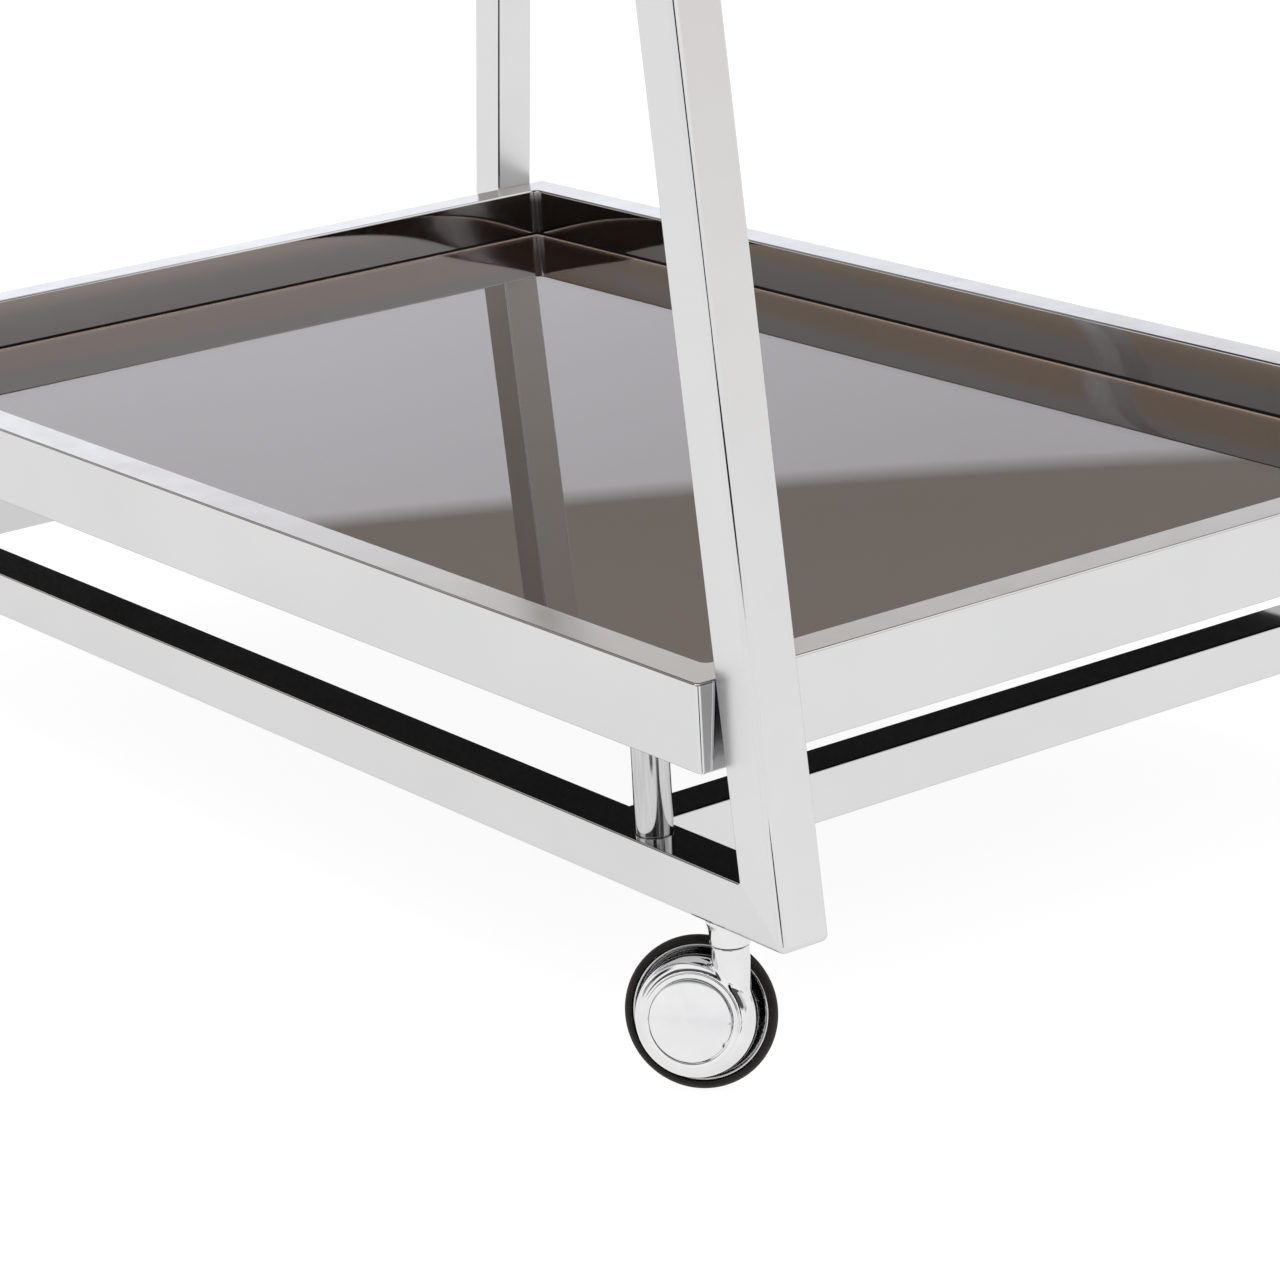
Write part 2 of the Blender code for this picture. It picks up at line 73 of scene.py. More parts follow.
# ---- finish of the edges --------------------------------------------------------------------------
TUBE_EDGE = 1.2 * MM        # rounding of the frame tubes
FOOT_EDGE = 3.0 * MM        # rounding of the feet, and of the legs' outer corners
RIM_EDGE = 1.2              # rounding of the tray rims, in millimetres
INNER_CORNER = 4.5 * MM     # inside corners of the trays
OUTER_CORNER = 2.2 * MM     # outside corners of the trays
GLASS_MARGIN = 1.2 * MM     # gap between the glass and the rim, filled with a black seal whose black paints the shade in the gap
SEAL_RISE = 1.2 * MM        # how far the seal climbs up the rim
GLASS_ARRIS = 0.5 * MM      # bevel round the glass
SEAL_TO_GLASS = 0.05 * MM   # clearances left beside the seal
SEAL_TO_RIM = 0.02 * MM
SEAL_HOLLOW = 2.2           # power of the seal's hollow curve
EDGE_STEPS = 5              # facets of a rounded edge
CORNER_STEPS = 8            # facets of a tray's rounded corner


# ---- mesh helpers ---------------------------------------------------------------------------------
def link(name, mesh, material, body, matrix=None):
    """Puts a piece in place, gives it its material and slot, and lets it ride on a body."""
    if matrix is not None:
        mesh = mesh.copy()
        mesh.transform(matrix)
    piece = bpy.data.objects.new(name, mesh)
    bpy.context.scene.collection.objects.link(piece)
    if not mesh.materials:
        mesh.materials.append(material)
    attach(piece, body)
    return piece


def shade_smooth(mesh):
    for polygon in mesh.polygons:
        polygon.use_smooth = True


def finish_bmesh(bm, name):
    bmesh.ops.recalc_face_normals(bm, faces=bm.faces)
    mesh = bpy.data.meshes.new(name)
    bm.to_mesh(mesh)
    bm.free()
    shade_smooth(mesh)
    return mesh


def bridge(bm, a, b):
    """Joins two rings of vertices with quads, which it returns."""
    return [bm.faces.new((a[i - 1], b[i - 1], b[i], a[i])) for i in range(len(a))]


def round_edges(piece, width, share):
    """Rounds each edge by a share of the width, worked out from its two ends, and keeps the faces flat."""
    mesh = piece.data
    weights = mesh.attributes.new("bevel_weight_edge", "FLOAT", "EDGE")
    for edge in mesh.edges:
        weights.data[edge.index].value = share(*(mesh.vertices[i].co for i in edge.vertices))
    bevel = piece.modifiers.new("rounded_edges", "BEVEL")
    bevel.width = width
    bevel.segments = EDGE_STEPS
    bevel.limit_method = "WEIGHT"
    bevel.miter_outer = "MITER_ARC"
    bevel.harden_normals = True
    bevel.material = 0


def arc(centre_r, centre_a, radius_r, radius_a, start, end, steps):
    """Points on an elliptical arc in a turned profile, angles in degrees from the outward direction."""
    angles = [math.radians(start + (end - start) * i / steps) for i in range(steps + 1)]
    return [(centre_r + radius_r * math.cos(t), centre_a + radius_a * math.sin(t)) for t in angles]


def turned(name, profile, steps=96, closed=False, sharp=40):
    """A turned piece: a profile of (radius, height) in millimetres, swept round the Z axis."""
    points = [(max(r, 0.0) * MM, h * MM) for r, h in profile]
    bm = bmesh.new()
    rings = []
    for r, h in points:
        if r < 1e-7:
            rings.append([bm.verts.new((0, 0, h))])
        else:
            turns = [math.tau * i / steps for i in range(steps)]
            rings.append([bm.verts.new((r * math.cos(t), r * math.sin(t), h)) for t in turns])
    pairs = list(zip(rings, rings[1:])) + ([(rings[-1], rings[0])] if closed else [])
    for a, b in pairs:
        for i in range(steps):
            j = (i + 1) % steps
            corners = [a[i % len(a)], a[j % len(a)], b[j % len(b)], b[i % len(b)]]
            face = list(dict.fromkeys(corners))
            if len(face) > 2:
                bm.faces.new(face)
    mesh = finish_bmesh(bm, name)
    mesh.set_sharp_from_angle(angle=math.radians(sharp))
    return mesh


# ---- node helpers ---------------------------------------------------------------------------------
def new_material(name, colour, metallic, roughness, **sockets):
    """A material with its shader's own sockets set. An underscore in a socket's name stands for a space."""
    material = bpy.data.materials.new(name)
    material.use_nodes = True
    shader = material.node_tree.nodes["Principled BSDF"]
    shader.inputs["Base Color"].default_value = (*colour, 1.0)
    shader.inputs["Metallic"].default_value = metallic
    shader.inputs["Roughness"].default_value = roughness
    for socket, value in sockets.items():
        shader.inputs[socket.replace("_", " ")].default_value = value
    return material, material.node_tree, shader


def add_node(tree, kind, inputs=(), **settings):
    node = tree.nodes.new(kind)
    for key, value in settings.items():
        setattr(node, key, value)
    for socket, value in dict(inputs).items():
        node.inputs[socket].default_value = value
    return node


def object_noise(tree, scale, detail=4.0, stretch=(1, 1, 1), roughness=0.5):
    """Noise fixed to the piece, drawn out along an axis by a stretch below 1."""
    place = add_node(tree, "ShaderNodeTexCoord")
    mapping = add_node(tree, "ShaderNodeMapping", {"Scale": stretch})
    noise = add_node(tree, "ShaderNodeTexNoise", {"Scale": scale, "Detail": detail, "Roughness": roughness})
    tree.links.new(place.outputs["Object"], mapping.inputs["Vector"])
    tree.links.new(mapping.outputs["Vector"], noise.inputs["Vector"])
    return noise.outputs["Fac"]


def spread(tree, value, low, high, into, start=0.3, stop=0.7):
    """Maps a noise onto a range and feeds a socket."""
    ramp = add_node(tree, "ShaderNodeMapRange",
                    {"From Min": start, "From Max": stop, "To Min": low, "To Max": high})
    tree.links.new(value, ramp.inputs["Value"])
    tree.links.new(ramp.outputs["Result"], into)


def tint(tree, value, dark, light, into, start=0.3, stop=0.7):
    """Mixes two colours by a noise and feeds a socket."""
    ramp = add_node(tree, "ShaderNodeValToRGB")
    ramp.color_ramp.elements[0].position = start
    ramp.color_ramp.elements[0].color = (*dark, 1.0)
    ramp.color_ramp.elements[1].position = stop
    ramp.color_ramp.elements[1].color = (*light, 1.0)
    tree.links.new(value, ramp.inputs["Fac"])
    tree.links.new(ramp.outputs["Color"], into)


def relief(tree, shader, value, strength, distance):
    bump = add_node(tree, "ShaderNodeBump", {"Strength": strength, "Distance": distance})
    tree.links.new(value, bump.inputs["Height"])
    tree.links.new(bump.outputs["Normal"], shader.inputs["Normal"])


# ---- materials ------------------------------------------------------------------------------------
STEEL_GLANCE = (0.85, 0.85, 0.85, 1.0)  # tint of steel at a grazing angle


def polished_steel():
    """Mirror-polished stainless tube: faint clouding and hair-fine polishing marks."""
    material, tree, shader = new_material("polished_steel", (0.645, 0.645, 0.65), 1.0, 0.05,
                                          Specular_Tint=STEEL_GLANCE)
    cloud = object_noise(tree, 9.0, 3.0)
    tint(tree, cloud, (0.63, 0.63, 0.635), (0.66, 0.66, 0.665), shader.inputs["Base Color"])
    marks = object_noise(tree, 160.0, 6.0, (0.15, 1.0, 1.0), 0.7)
    spread(tree, marks, 0.03, 0.07, shader.inputs["Roughness"])
    return material


def top_steel():
    """The trays' top faces, which are wiped and worn a little duller than the rest."""
    material, tree, shader = new_material("top_steel", (0.66, 0.66, 0.665), 1.0, 0.14,
                                          Specular_Tint=STEEL_GLANCE)
    cloud = object_noise(tree, 14.0, 3.0)
    tint(tree, cloud, (0.65, 0.65, 0.652), (0.68, 0.68, 0.682), shader.inputs["Base Color"])
    spread(tree, object_noise(tree, 60.0, 4.0), 0.12, 0.17, shader.inputs["Roughness"])
    return material


def drawn_steel():
    """The posts' drawn bar, with fine marks along it."""
    material, tree, shader = new_material("drawn_steel", (0.53, 0.53, 0.535), 1.0, 0.12,
                                          Specular_Tint=STEEL_GLANCE)
    streaks = object_noise(tree, 700.0, 5.0, (1.0, 1.0, 0.05), 0.7)
    tint(tree, streaks, (0.46, 0.46, 0.463), (0.60, 0.60, 0.603), shader.inputs["Base Color"])
    spread(tree, streaks, 0.08, 0.14, shader.inputs["Roughness"])
    return material


def satin_steel():
    """The legs' long faces: finely brushed, so they show light but no pictures."""
    material, tree, shader = new_material("satin_steel", (0.66, 0.66, 0.665), 1.0, 0.30,
                                          Specular_Tint=STEEL_GLANCE)
    cloud = object_noise(tree, 6.0, 3.0)
    tint(tree, cloud, (0.65, 0.65, 0.652), (0.685, 0.685, 0.69), shader.inputs["Base Color"])
    hairs = object_noise(tree, 40.0, 3.0)
    spread(tree, hairs, 0.28, 0.33, shader.inputs["Roughness"])
    return material


def sealant_painted_gap_shade():
    """Black silicone with a soft sheen. Its black is painted shade: it stands in for the shade in the gap
    between the glass and the rim.
    """
    material, tree, shader = new_material("sealant_painted_gap_shade", (0.006, 0.006, 0.006), 0.0, 0.4,
                                          Specular_IOR_Level=0.1)
    grain = object_noise(tree, 150.0, 4.0)
    tint(tree, grain, (0.004, 0.004, 0.004), (0.009, 0.009, 0.009), shader.inputs["Base Color"])
    spread(tree, grain, 0.3, 0.5, shader.inputs["Roughness"])
    return material


def bright_chrome():
    """Chrome plate on a die casting: brighter and smoother, with a slight ripple under the plate."""
    material, tree, shader = new_material("bright_chrome", (0.72, 0.72, 0.73), 1.0, 0.04)
    cloud = object_noise(tree, 60.0, 3.0)
    tint(tree, cloud, (0.69, 0.69, 0.70), (0.75, 0.75, 0.755), shader.inputs["Base Color"])
    spread(tree, object_noise(tree, 400.0, 5.0), 0.03, 0.075, shader.inputs["Roughness"])
    relief(tree, shader, object_noise(tree, 90.0, 2.0), 0.10, 0.0002)
    return material


def pressed_wheel():
    """Plated pressed steel, spun, so its marks run round the axle."""
    material, tree, shader = new_material("pressed_wheel", (0.66, 0.66, 0.665), 1.0, 0.10)
    cloud = object_noise(tree, 70.0, 4.0)
    tint(tree, cloud, (0.60, 0.60, 0.605), (0.72, 0.72, 0.725), shader.inputs["Base Color"])
    spread(tree, object_noise(tree, 500.0, 6.0), 0.06, 0.16, shader.inputs["Roughness"])
    return material


def turned_steel():
    """Plain turned steel, with fine lines along it."""
    material, tree, shader = new_material("turned_steel", (0.50, 0.50, 0.51), 1.0, 0.28)
    lines = object_noise(tree, 900.0, 4.0, (1.0, 1.0, 0.1))
    tint(tree, lines, (0.42, 0.42, 0.43), (0.56, 0.56, 0.57), shader.inputs["Base Color"])
    spread(tree, lines, 0.20, 0.38, shader.inputs["Roughness"])
    return material


def smoked_glass():
    """Smoked glass: dark to look into, and a clear reflection at a low angle."""
    material, tree, shader = new_material("smoked_glass", (0.24, 0.14, 0.10), 0.0, 0.005, IOR=1.47,
                                          Transmission_Weight=0.88)
    haze = object_noise(tree, 3.0, 4.0)
    tint(tree, haze, (0.22, 0.128, 0.090), (0.26, 0.152, 0.105), shader.inputs["Base Color"])
    spread(tree, object_noise(tree, 30.0, 5.0), 0.003, 0.009, shader.inputs["Roughness"])
    return material


def ground_edge_painted_glow():
    """The ground edge of the glass: pale and matt, with a painted glow: its emission stands in for the light
    it gathers, and it shows through the plate.
    """
    material, tree, shader = new_material("ground_glass_edge_painted_glow", (0.80, 0.78, 0.70), 0.0, 0.5,
                                          Emission_Color=(1.0, 0.98, 0.92, 1.0), Emission_Strength=0.75)
    grain = object_noise(tree, 220.0, 5.0)
    tint(tree, grain, (0.70, 0.68, 0.60), (0.88, 0.86, 0.78), shader.inputs["Base Color"])
    spread(tree, grain, 0.40, 0.60, shader.inputs["Roughness"])
    return material


def black_lacquer():
    """Black-lacquered board under the glass, with a fine orange peel."""
    material, tree, shader = new_material("black_lacquer", (0.003, 0.003, 0.0035), 0.0, 0.50,
                                          Specular_IOR_Level=0.01)
    peel = object_noise(tree, 420.0, 3.0)
    tint(tree, object_noise(tree, 12.0, 5.0), (0.002, 0.002, 0.0025), (0.005, 0.005, 0.0055),
         shader.inputs["Base Color"])
    spread(tree, peel, 0.42, 0.58, shader.inputs["Roughness"])
    relief(tree, shader, peel, 0.15, 0.0003)
    return material


def tyre_rubber():
    """Hard black rubber with a fine moulded grain and a little dust in it."""
    material, tree, shader = new_material("tyre_rubber", (0.012, 0.010, 0.009), 0.0, 0.50,
                                          Specular_IOR_Level=0.2)
    grain = object_noise(tree, 900.0, 4.0)
    tint(tree, object_noise(tree, 130.0, 5.0), (0.009, 0.008, 0.007), (0.016, 0.013, 0.012),
         shader.inputs["Base Color"])
    spread(tree, grain, 0.42, 0.62, shader.inputs["Roughness"])
    relief(tree, shader, grain, 0.20, 0.0002)
    return material


def pale_floor():
    """Plain white studio floor, bright enough to stay white in the soft shadow under the trolley."""
    return new_material("pale_floor", (0.20, 0.20, 0.20), 0.0, 0.9, Emission_Color=(1.0, 1.0, 1.0, 1.0),
                        Emission_Strength=0.93, Specular_IOR_Level=0.0)[0]


# ---- camera, floor and light ----------------------------------------------------------------------
CAMERA_FROM_TRAY = Vector((1.801221, -1.293865, 0.573802))  # from the middle of the lower tray's rim
CAMERA_HEADING, CAMERA_DROP, CAMERA_ROLL = 144.008, 17.957, -3.195  # degrees
CAMERA_LENS, SENSOR = 122.56, 36.0  # millimetres
CAMERA_REACH = 200.0        # far clipping distance
FLOOR_RADIUS = 60.0
FLOOR_DROP = 0.2 * MM       # keeps the floor clear of the tyres


def make_camera():
    heading, drop, roll = (math.radians(a) for a in (CAMERA_HEADING, CAMERA_DROP, CAMERA_ROLL))
    level = math.cos(drop)
    forward = Vector((math.cos(heading) * level, math.sin(heading) * level, -math.sin(drop)))
    across = forward.cross(Vector((0, 0, 1))).normalized()
    above = across.cross(forward)
    right = math.cos(roll) * across + math.sin(roll) * above
    up = right.cross(forward)
    data = bpy.data.cameras.new("camera")
    data.lens = CAMERA_LENS
    data.sensor_width = SENSOR
    data.clip_end = CAMERA_REACH
    camera = bpy.data.objects.new("camera", data)
    place = Matrix((right, up, -forward)).transposed().to_4x4()
    place.translation = CAMERA_FROM_TRAY + Vector((0, 0, RIM_TOP["lower"]))
    camera.matrix_world = place
    bpy.context.scene.collection.objects.link(camera)
    bpy.context.scene.camera = camera


def make_floor():
    bm = bmesh.new()
    bmesh.ops.create_circle(bm, cap_ends=True, segments=96, radius=FLOOR_RADIUS)
    floor = bpy.data.objects.new("studio_floor", finish_bmesh(bm, "studio_floor"))
    floor.location.z = -FLOOR_DROP
    floor.data.materials.append(pale_floor())
    bpy.context.scene.collection.objects.link(floor)


# The studio is painted on the sky by direction. Heights are on the unit sphere, from 0 at the horizon to 1
# overhead, and headings are in degrees from the X axis.
BRIGHTEST = 1.5             # radiance that a ramp's value of 1 stands for
BACK, LEFT, RIGHT, BEHIND_CAMERA = 146, 33, 212, -36
WALL_BRIGHT_END, LEG_SIDE = 236, -56
WALL_TOP, WALL_BLUR = 0.2763, 0.0006  # where the bright wall behind the trolley ends, and how softly
WALL_TILT = (0.01685, 0.02236, 1.0)   # the wall's top edge runs slightly downhill
SIDE_TILT = (-0.272, 0.329, 1.0)      # and so does the border between the two tints beside it
PLAIN, COOL, DUSKY = (1.0, 1.0, 1.0), (0.965, 0.98, 1.05), (1.0, 0.93, 0.87)
WARM, TAN, BROWN = (1.0, 0.90, 0.87), (1.0, 0.82, 0.66), (1.0, 0.83, 0.66)
ROOF = [(0.72, 0.04, PLAIN), (0.82, 1.15, PLAIN)]  # a dark gap, then the white roof
TONES = {                   # from the floor up: (height, radiance, tint)
    "tent": [(0.0, 1.15, PLAIN), (0.45, 1.10, PLAIN), (0.75, 1.15, PLAIN)],
    "left": [(0.03, 1.15, PLAIN), (0.06, 0.88, TAN), (0.11, 0.66, TAN), (0.19, 0.88, WARM),
             (0.219, 0.88, WARM), (0.231, 0.78, PLAIN), (0.40, 0.80, PLAIN), (0.55, 1.10, PLAIN)],
    "wall": [(0.0, 1.15, PLAIN), (0.10, 1.22, COOL), (0.20, 1.42, COOL), (0.28, 1.58, COOL)],
    "gap": [(0.28, 0.58, DUSKY), (0.36, 0.84, DUSKY), (0.42, 0.12, PLAIN), (0.74, 0.04, PLAIN),
            (0.82, 1.15, PLAIN)],
    "right": [(0.08, 1.15, PLAIN), (0.18, 0.58, TAN), (0.232, 0.56, TAN), (0.243, 0.52, PLAIN),
              (0.40, 0.50, PLAIN), (0.50, 0.06, PLAIN), *ROOF],
    "leg_side": [(0.08, 1.15, PLAIN), (0.18, 0.50, BROWN), (0.30, 0.40, BROWN), (0.50, 0.06, PLAIN), *ROOF],
    "room": [(0.14, 1.15, PLAIN), (0.20, 0.10, PLAIN), (0.70, 0.10, PLAIN), (0.82, 1.15, PLAIN)],
    "curtain": [(0.14, 1.15, PLAIN), (0.20, 0.02, PLAIN), (0.70, 0.02, PLAIN), (0.82, 1.15, PLAIN)],
}


def ramp_node(tree, value, stops):
    """Piecewise linear colour over a value: (position, colour)."""
    ramp = add_node(tree, "ShaderNodeValToRGB")
    elements = ramp.color_ramp.elements
    while len(elements) < len(stops):
        elements.new(0.5)
    for element, (position, colour) in zip(elements, stops):
        element.position = position
        element.color = (*colour, 1.0)
    tree.links.new(value, ramp.inputs["Fac"])
    return ramp.outputs["Color"]


def grey_steps(tree, value, stops):
    return ramp_node(tree, value, [(position, (level,) * 3) for position, level in stops])


def tone(tree, name, value):
    """One tone of the studio, over a height."""
    return ramp_node(tree, value, [(position, [radiance / BRIGHTEST * channel for channel in colour])
                                   for position, radiance, colour in TONES[name]])


def make_studio():
    """A white tent: a brighter wall behind the trolley, a dark gap under the roof, and tinted sides."""
    world = bpy.data.worlds.new("studio")
    bpy.context.scene.world = world
    world.use_nodes = True
    tree = world.node_tree
    direction = add_node(tree, "ShaderNodeTexCoord").outputs["Generated"]
    flat = add_node(tree, "ShaderNodeVectorMath", {1: (1.0, 1.0, 0.0)}, operation="MULTIPLY")
    level = add_node(tree, "ShaderNodeVectorMath", operation="NORMALIZE")
    tree.links.new(direction, flat.inputs[0])
    tree.links.new(flat.outputs[0], level.inputs[0])

    def dot(source, vector):
        node = add_node(tree, "ShaderNodeVectorMath", {1: vector}, operation="DOT_PRODUCT")
        tree.links.new(source, node.inputs[0])
        return node.outputs["Value"]

    def facing(heading, *stops):
        """Steps over the angle to a heading: 1 faces it, 0.5 is square to it, 0 faces away."""
        angle = math.radians(heading)
        half = add_node(tree, "ShaderNodeMath", {1: 0.5, 2: 0.5}, operation="MULTIPLY_ADD")
        tree.links.new(dot(level.outputs[0], (math.cos(angle), math.sin(angle), 0.0)), half.inputs[0])
        return grey_steps(tree, half.outputs[0], stops)

    def mix(factor, a, b, **settings):
        node = add_node(tree, "ShaderNodeMix", data_type="RGBA", **settings)
        colours = [socket for socket in node.inputs if socket.type == "RGBA"]
        if isinstance(factor, float):
            node.inputs["Factor"].default_value = factor
        else:
            tree.links.new(factor, node.inputs["Factor"])
        for socket, value in zip(colours, (a, b)):
            tree.links.new(value, socket)
        return next(socket for socket in node.outputs if socket.type == "RGBA")

    height = dot(direction, (0.0, 0.0, 1.0))
    tones = {name: tone(tree, name, height) for name in TONES if name != "right"}
    tones["right"] = tone(tree, "right", dot(direction, SIDE_TILT))
    over_wall = grey_steps(tree, dot(direction, WALL_TILT),
                           [(WALL_TOP - WALL_BLUR, 0.0), (WALL_TOP + WALL_BLUR, 1.0)])
    room = mix(facing(BEHIND_CAMERA, (0.9905, 0.0), (0.9963, 1.0)), tones["room"], tones["curtain"])
    wall = mix(1.0, tones["wall"], facing(WALL_BRIGHT_END, (0.44, 0.88), (0.52, 1.0)), blend_type="MULTIPLY")
    right = mix(facing(LEG_SIDE, (0.508, 1.0), (0.522, 0.0)), tones["right"], tones["leg_side"])
    colour = mix(facing(LEFT, (0.975, 0.0), (0.994, 1.0)), tones["tent"], tones["left"])
    colour = mix(facing(RIGHT, (0.972, 0.0), (0.985, 1.0)), colour, right)
    colour = mix(facing(BACK, (0.84, 0.0), (0.95, 1.0)), colour, mix(over_wall, wall, tones["gap"]))
    colour = mix(facing(BEHIND_CAMERA, (0.735, 0.0), (0.77, 1.0)), colour, room)
    background = tree.nodes["Background"]
    tree.links.new(colour, background.inputs["Color"])
    background.inputs["Strength"].default_value = BRIGHTEST


def make_softbox():
    """One large soft light straight above, for the floor and the matt parts."""
    light = bpy.data.lights.new("softbox", "AREA")
    light.shape = "RECTANGLE"
    light.size = 3.2
    light.size_y = 2.4
    light.energy = 25.0
    softbox = bpy.data.objects.new("softbox", light)
    softbox.location = (0.2, -0.2, 3.4)
    softbox.visible_camera = False
    softbox.visible_glossy = False
    bpy.context.scene.collection.objects.link(softbox)


def dark_card(name, shade, place):
    """An oval card with a soft edge, seen only in reflections, where it paints a dark reflection. Its shade
    runs from the middle to the rim.
    """
    material, tree, shader = new_material(name, (0.0, 0.0, 0.0), 0.0, 1.0, Specular_IOR_Level=0.0,
                                          Emission_Strength=1.0)
    where = add_node(tree, "ShaderNodeTexCoord")
    reach = add_node(tree, "ShaderNodeVectorMath", operation="LENGTH")
    tree.links.new(where.outputs["Object"], reach.inputs[0])
    edge = grey_steps(tree, reach.outputs["Value"], [(0.80, 1.0), (1.0, 0.0)])
    tree.links.new(edge, shader.inputs["Alpha"])
    tree.links.new(grey_steps(tree, reach.outputs["Value"], shade), shader.inputs["Emission Color"])
    bm = bmesh.new()
    bmesh.ops.create_circle(bm, cap_ends=True, segments=64, radius=1.0)
    card = bpy.data.objects.new(name, finish_bmesh(bm, name))
    card.data.materials.append(material)
    card.matrix_world = place
    bpy.context.scene.collection.objects.link(card)
    card.visible_camera = card.visible_diffuse = card.visible_shadow = card.visible_transmission = False


def make_cards():
    """Dark cards before the trolley, seen only in reflections, that paint dark reflections into the steel: an
    upright curtain, a dark stretch of floor further out, and a fading dark patch on the floor near the
    corner.
    """
    towards = bpy.context.scene.camera.location.xy.normalized()
    facing = Vector((towards.x, towards.y, 0.0))
    across = Vector((-towards.y, towards.x, 0.0))
    up = Vector((0, 0, 1))
    corner = Vector((TRAY_X["lower"], -TRAY_Y, 0.0))
    black, fading = [(0.0, 0.02), (1.0, 0.0)], [(0.20, 0.25), (0.32, 0.0)]
    cards = {
        "curtain": (black, facing * 2.6 + up * 0.9, across * 0.5, up * 0.95, facing),
        "far_dark_floor_reflection": (black, corner + facing * 3.3 + up * 0.0006, across * 0.9, facing * -1.65, up),
        "dark_reflection_near_corner": (fading, corner + facing * 0.58 + up * 0.0003, across * 0.11, facing * -0.20, up),
    }
    for name, (shade, centre, *axes) in cards.items():
        place = Matrix(axes).transposed().to_4x4()
        place.translation = centre
        dark_card(name, shade, place)


# ---- frame ----------------------------------------------------------------------------------------
def leg_axis(z):
    """Distance from the middle of the trolley to a leg's axis at height z."""
    inner = TRAY_X["lower"] + TOUCH - LEAN * (z - RIM_TOP["lower"])
    return inner + TUBE / 2 * math.hypot(1, LEAN)


def swept_loop(name, corners, across, half):
    """A square tube, half of its width given, swept round a closed loop of corners and mitred at each."""
    count = len(corners)
    ways = [(corners[(i + 1) % count] - corners[i]).normalized() for i in range(count)]
    planes = [(ways[i - 1] + ways[i]).normalized() for i in range(count)]
    above = ways[-1].cross(across).normalized()
    ring = []
    for i, j in ((-1, -1), (1, -1), (1, 1), (-1, 1)):
        start = corners[0] + half * (i * across + j * above)
        ring.append(start + ways[-1] * ((corners[0] - start).dot(planes[0]) / ways[-1].dot(planes[0])))
    bm = bmesh.new()
    rings = []
    for i in range(count):
        rings.append([bm.verts.new(p) for p in ring])
        goal = corners[(i + 1) % count]
        plane = planes[(i + 1) % count]
        ring = [p + ways[i] * ((goal - p).dot(plane) / ways[i].dot(plane)) for p in ring]
    for i in range(count):
        bridge(bm, rings[i - 1], rings[i])
    return finish_bmesh(bm, name)


def make_frame_loop(steel, satin):
    """Legs, handles and lower side rails as one seamless loop, as welded and ground flush.

    The legs' long faces are satin. Outer corners at the feet and down the legs are rounder than the rest.
    """
    rail_z = (RAIL_LOW.z + RAIL_HIGH.z) / 2
    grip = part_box("handle_right")
    handle_z = (grip[0].z + grip[1].z) / 2
    corners = []
    for end, side in ((1, -1), (1, 1), (-1, 1), (-1, -1)):
        foot = Vector((end * leg_axis(rail_z), side * RAIL_Y, rail_z))
        top = Vector((end * leg_axis(handle_z), side * RAIL_Y, handle_z))
        corners += [foot, top] if (end, side) in ((1, -1), (-1, 1)) else [top, foot]
    mesh = swept_loop("frame_loop", corners, Vector((0, 1, 0)), TUBE / 2)
    mesh.materials.append(steel)
    mesh.materials.append(satin)
    tall = handle_z / 2
    for polygon in mesh.polygons:
        heights = [mesh.vertices[i].co.z for i in polygon.vertices]
        polygon.material_index = int(max(heights) - min(heights) > tall)

    def share(a, b):
        outside = all(abs(p.x) > leg_axis(p.z) for p in (a, b))
        foot = outside and a.z < rail_z and b.z < rail_z
        corner = outside and abs(a.z - b.z) > tall and abs(a.y) > RAIL_Y
        return 1.0 if foot or corner else TUBE_EDGE / FOOT_EDGE

    loop = link("frame_loop", mesh, steel, "frame")
    round_edges(loop, FOOT_EDGE, share)
    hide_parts("handle_right", "handle_left", "lower_side_rail_front", "lower_side_rail_back",
                *("leg_" + place for place in PLACES))


def box_mesh(name, low, high, slant=0.0):
    """A box whose two X ends may lean with the legs, by a slant sideways for each unit of height."""
    bm = bmesh.new()
    bmesh.ops.create_cube(bm, size=1.0)
    middle = (low[2] + high[2]) / 2
    for vert in bm.verts:
        vert.co = Vector((low[i] if vert.co[i] < 0 else high[i] for i in range(3)))
        vert.co.x -= math.copysign(slant, vert.co.x) * (vert.co.z - middle)
    return finish_bmesh(bm, name)


def round_long_edges(piece, axis):
    """Rounds only the edges along one axis, so the ends run into their neighbours without a groove."""
    for polygon in piece.data.polygons:
        polygon.use_smooth = abs(polygon.normal[axis]) < 0.9
    round_edges(piece, TUBE_EDGE, lambda a, b: float(abs((b - a).normalized()[axis]) > 0.9))


def make_bar(node, low, high, axis, slant, steel):
    """One rail, rounded along its axis, in place of its node."""
    bar = link(node + "_bar", box_mesh(node + "_bar", low, high, slant), steel, "frame")
    round_long_edges(bar, axis)
    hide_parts(node)


def make_bars(steel):
    """Cross rails, and the upper side rails that butt against the legs."""
    into = TUBE_EDGE + TOUCH
    for tier in TIERS:
        for end in ENDS:
            node = "{}_cross_rail_{}".format(tier, end)
            low, high = (v.copy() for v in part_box(node))
            low.y -= into
            high.y += into
            make_bar(node, low, high, 1, 0.0, steel)
    for side in SIDES:
        node = "upper_side_rail_" + side
        low, high = (v.copy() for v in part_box(node))
        middle = (low.z + high.z) / 2
        reach = leg_axis(middle) - TUBE / 2 * math.hypot(1, LEAN) + TUBE_EDGE
        low.x, high.x = -reach, reach
        make_bar(node, low, high, 0, LEAN, steel)


